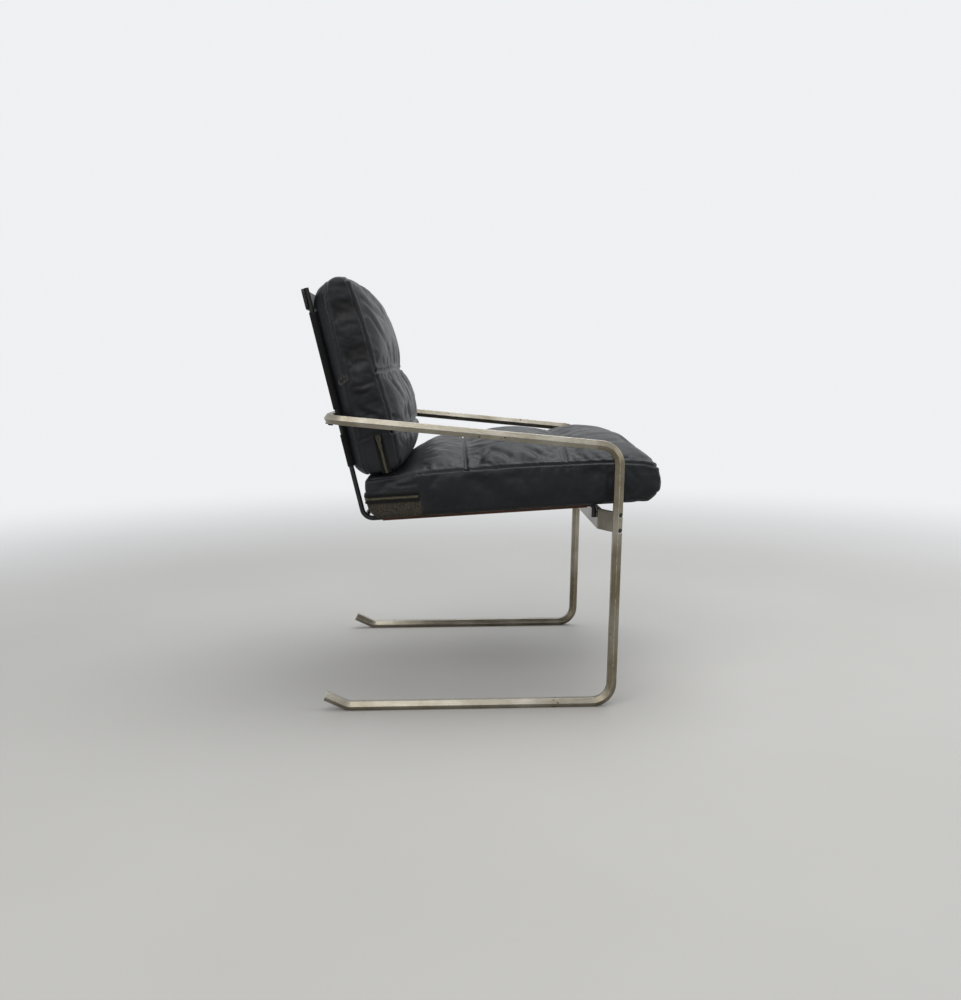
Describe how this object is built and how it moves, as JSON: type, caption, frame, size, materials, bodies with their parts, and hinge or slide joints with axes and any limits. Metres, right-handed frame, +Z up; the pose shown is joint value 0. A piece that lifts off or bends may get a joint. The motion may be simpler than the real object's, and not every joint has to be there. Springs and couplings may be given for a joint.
{
  "type": "cantilever lounge chair",
  "caption": "Cantilever lounge chair: bent hexagonal steel bar with arms and floor runners, a black rod frame with slings, and loose leather seat and back cushions.",
  "frame": {"origin": "on the floor under the middle of the chair's overall length and width", "axes": "+X towards the front edge of the seat, +Z up, +Y to the sitter's left"},
  "size_m": [0.6569, 0.62, 0.7905],
  "materials": {
    "nickelled_bar": "nickel-plated steel, brushed and worn, with a warm brown patina",
    "nickelled_flat": "nickel-plated flat bar, worn like the side frames",
    "screw_steel": "blackened steel screws",
    "screw_black": "black screws",
    "black_lacquer": "black lacquer, satin, worn at the edges",
    "brown_canvas": "reddish brown canvas",
    "black_canvas": "black canvas",
    "seat_leather": "black leather with creases, scuffed along its seams",
    "back_leather": "black leather with creases, scuffed along its seams",
    "foam": "upholstery foam, hidden",
    "zip_tape": "olive brown zip tape and teeth",
    "zip_metal": "dark metal slider and pull"
  },
  "bodies": {
    "root": {"side_frame_right": "nickelled_bar", "side_frame_left": "nickelled_bar", "front_cross_rail": "nickelled_flat", "rail_screws": "screw_steel", "rod_end_screws": "screw_steel", "side_rod_right": "black_lacquer", "side_rod_left": "black_lacquer", "head_rail": "black_lacquer", "lower_rail": "black_lacquer", "crossbar_lug_right": "black_lacquer", "crossbar_lug_left": "black_lacquer", "lug_screws": "screw_black", "seat_sling": "brown_canvas", "back_sling": "black_canvas", "seat_cover": "seat_leather", "back_cover": "back_leather", "seat_core": "foam", "back_core": "foam", "seat_zip": "zip_tape", "back_zip": "zip_tape"},
    "seat_slider": {"seat_zip_slider": "zip_metal"},
    "seat_pull": {"seat_zip_pull": "zip_metal"},
    "back_slider": {"back_zip_slider": "zip_metal"},
    "back_pull": {"back_zip_pull": "zip_metal"}
  },
  "joints": [
    {"name": "seat_zip_slide", "type": "slide", "parent": "root", "child": "seat_slider", "axis": [0, 1, 0], "range_m": [0, 0.39]},
    {"name": "seat_pull_swing", "type": "hinge", "parent": "seat_slider", "child": "seat_pull", "pos_m": [-0.22562, -0.195, 0.38671], "axis": [0.053, 0, -0.9986], "range_deg": [0, 180]},
    {"name": "back_zip_slide", "type": "slide", "parent": "root", "child": "back_slider", "axis": [0.2215, 0, -0.9751], "range_m": [0, 0.047]},
    {"name": "back_pull_swing", "type": "hinge", "parent": "back_slider", "child": "back_pull", "pos_m": [-0.19328, -0.27437, 0.49923], "axis": [-0.9751, 0, -0.2215], "range_deg": [0, 180]}
  ]
}
